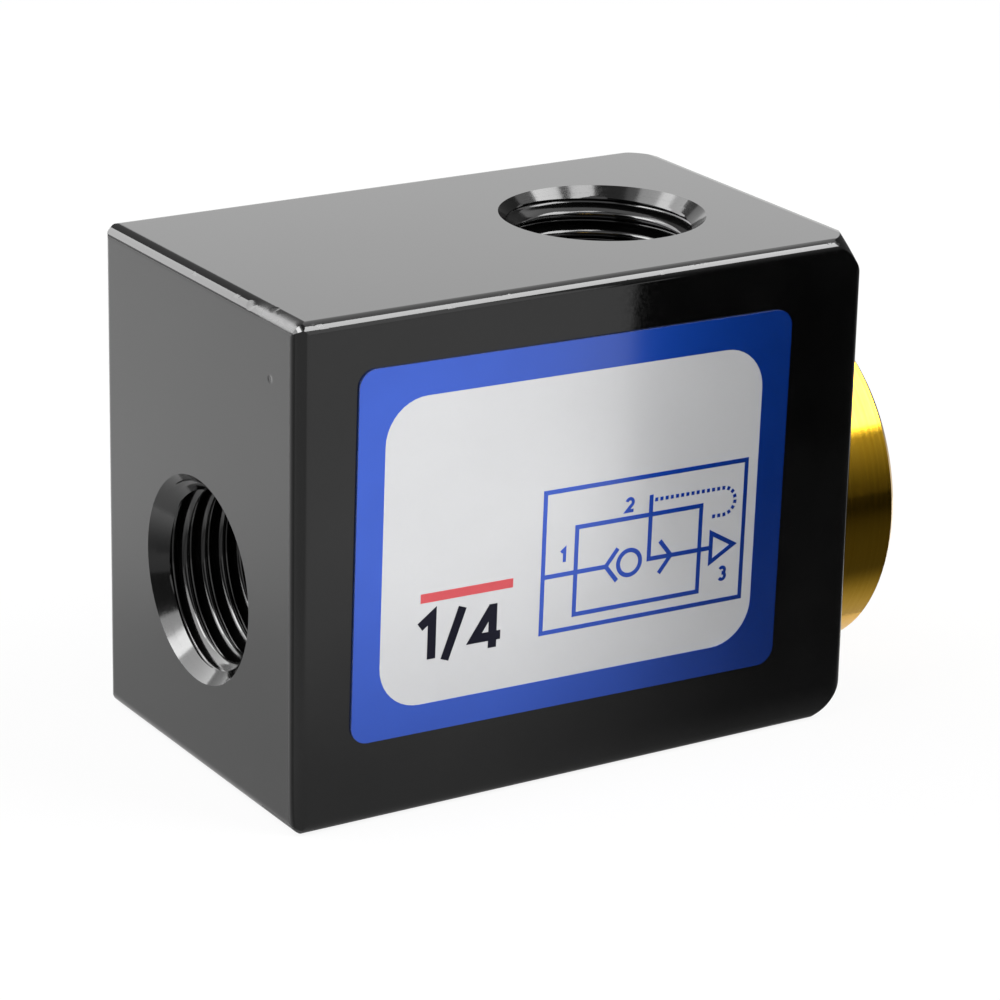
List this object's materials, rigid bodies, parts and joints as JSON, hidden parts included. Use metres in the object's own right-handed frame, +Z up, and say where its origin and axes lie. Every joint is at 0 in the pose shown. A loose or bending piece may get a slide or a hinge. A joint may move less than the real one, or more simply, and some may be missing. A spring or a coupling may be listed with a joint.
{
  "type": "quick exhaust valve",
  "caption": "Block-bodied pneumatic quick exhaust valve: threaded inlet and outlet, a turned exhaust cap and a rubber cup that shuttles between two seats.",
  "frame": {"origin": "middle of the block's bottom face, on which the valve stands", "axes": "+X from the inlet port to the exhaust cap, +Z up through the outlet port, the label faces -Y"},
  "size_m": [0.0475, 0.0265, 0.034],
  "materials": {
    "black_anodised": "glossy black anodised, machined faces with broken edges",
    "gold_metal": "bright turned, gold colour",
    "seal_rubber": "matt black moulded",
    "cup_rubber": "matt black moulded",
    "printed_foil": "silver foil with a blue printed border"
  },
  "bodies": {
    "housing": {"valve_body": "black_anodised", "exhaust_cap": "gold_metal", "cap_o_ring": "seal_rubber", "label": "printed_foil"},
    "cup": {"shuttle_seal": "cup_rubber"}
  },
  "joints": [
    {"name": "cup_shuttle", "type": "slide", "parent": "housing", "child": "cup", "axis": [1, 0, 0], "range_m": [0, 0.002]}
  ]
}
